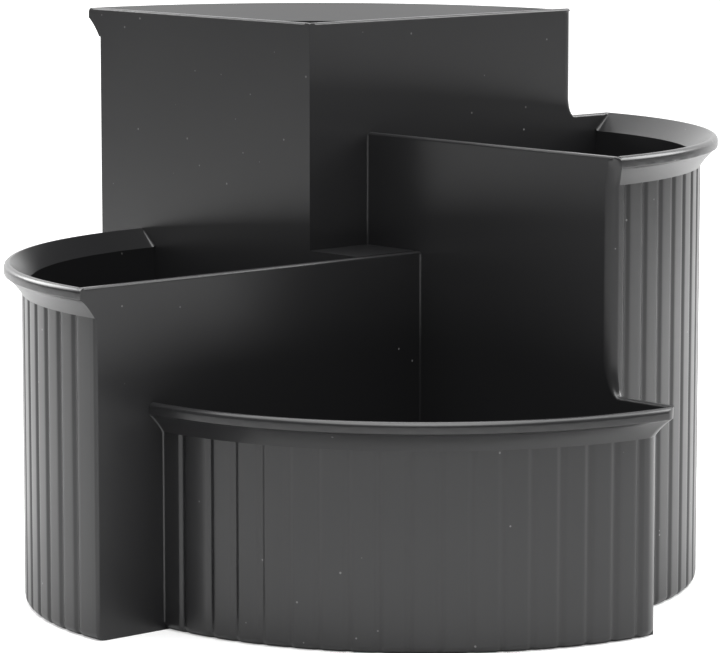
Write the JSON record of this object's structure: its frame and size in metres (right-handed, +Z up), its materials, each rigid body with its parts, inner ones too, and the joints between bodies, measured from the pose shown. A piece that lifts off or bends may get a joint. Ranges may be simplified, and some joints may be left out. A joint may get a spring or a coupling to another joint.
{
  "type": "desk organizer",
  "caption": "Near-black desk organizer: quarter-round cups of stepped heights set like a pinwheel round a square column, with ribbed outer walls and flared rims.",
  "frame": {"origin": "centre of the square column, on the plane of the table", "axes": "+Z up; +X to the right and away from the front; +Y to the left and away from the front"},
  "size_m": [0.1456, 0.1455, 0.1047],
  "materials": {
    "body": "satin moulded polystyrene"
  },
  "bodies": {
    "root": {"back_cup_wall": "body", "right_cup_wall": "body", "left_cup_wall": "body", "front_cup_wall": "body", "back_cup_floor": "body", "right_cup_floor": "body", "left_cup_floor": "body", "front_cup_floor": "body", "back_left_divider": "body", "back_right_divider": "body", "right_front_divider": "body", "left_front_divider": "body", "centre_column": "body"}
  },
  "joints": []
}
